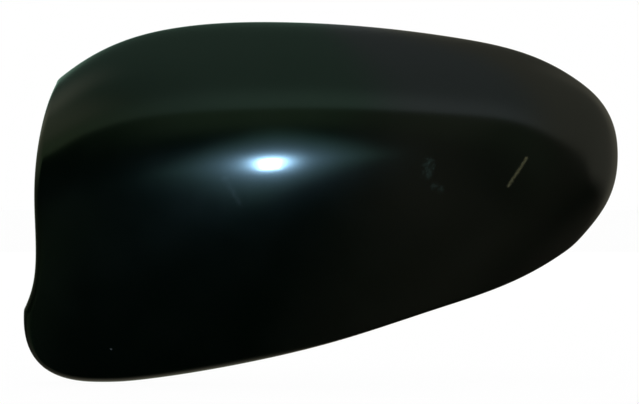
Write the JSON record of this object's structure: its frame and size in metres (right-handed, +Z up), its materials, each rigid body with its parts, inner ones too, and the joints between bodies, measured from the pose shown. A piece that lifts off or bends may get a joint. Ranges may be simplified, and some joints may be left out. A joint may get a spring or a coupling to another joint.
{
  "type": "wing mirror cover",
  "caption": "Domed black shell that clips over the front of a car's left wing mirror, open at the back, with snap hooks and locating pins inside.",
  "frame": {"origin": "on the plane of the rear rim, in the middle of the cover's width and height", "axes": "+X outboard along the cover's length, +Y rearward out of the open back, +Z up"},
  "size_m": [0.2085, 0.07, 0.1266],
  "materials": {
    "cover_plastic": "gloss black outside with fine scratches, satin black inside"
  },
  "bodies": {
    "root": {"mirror_cover": "cover_plastic"}
  },
  "joints": []
}
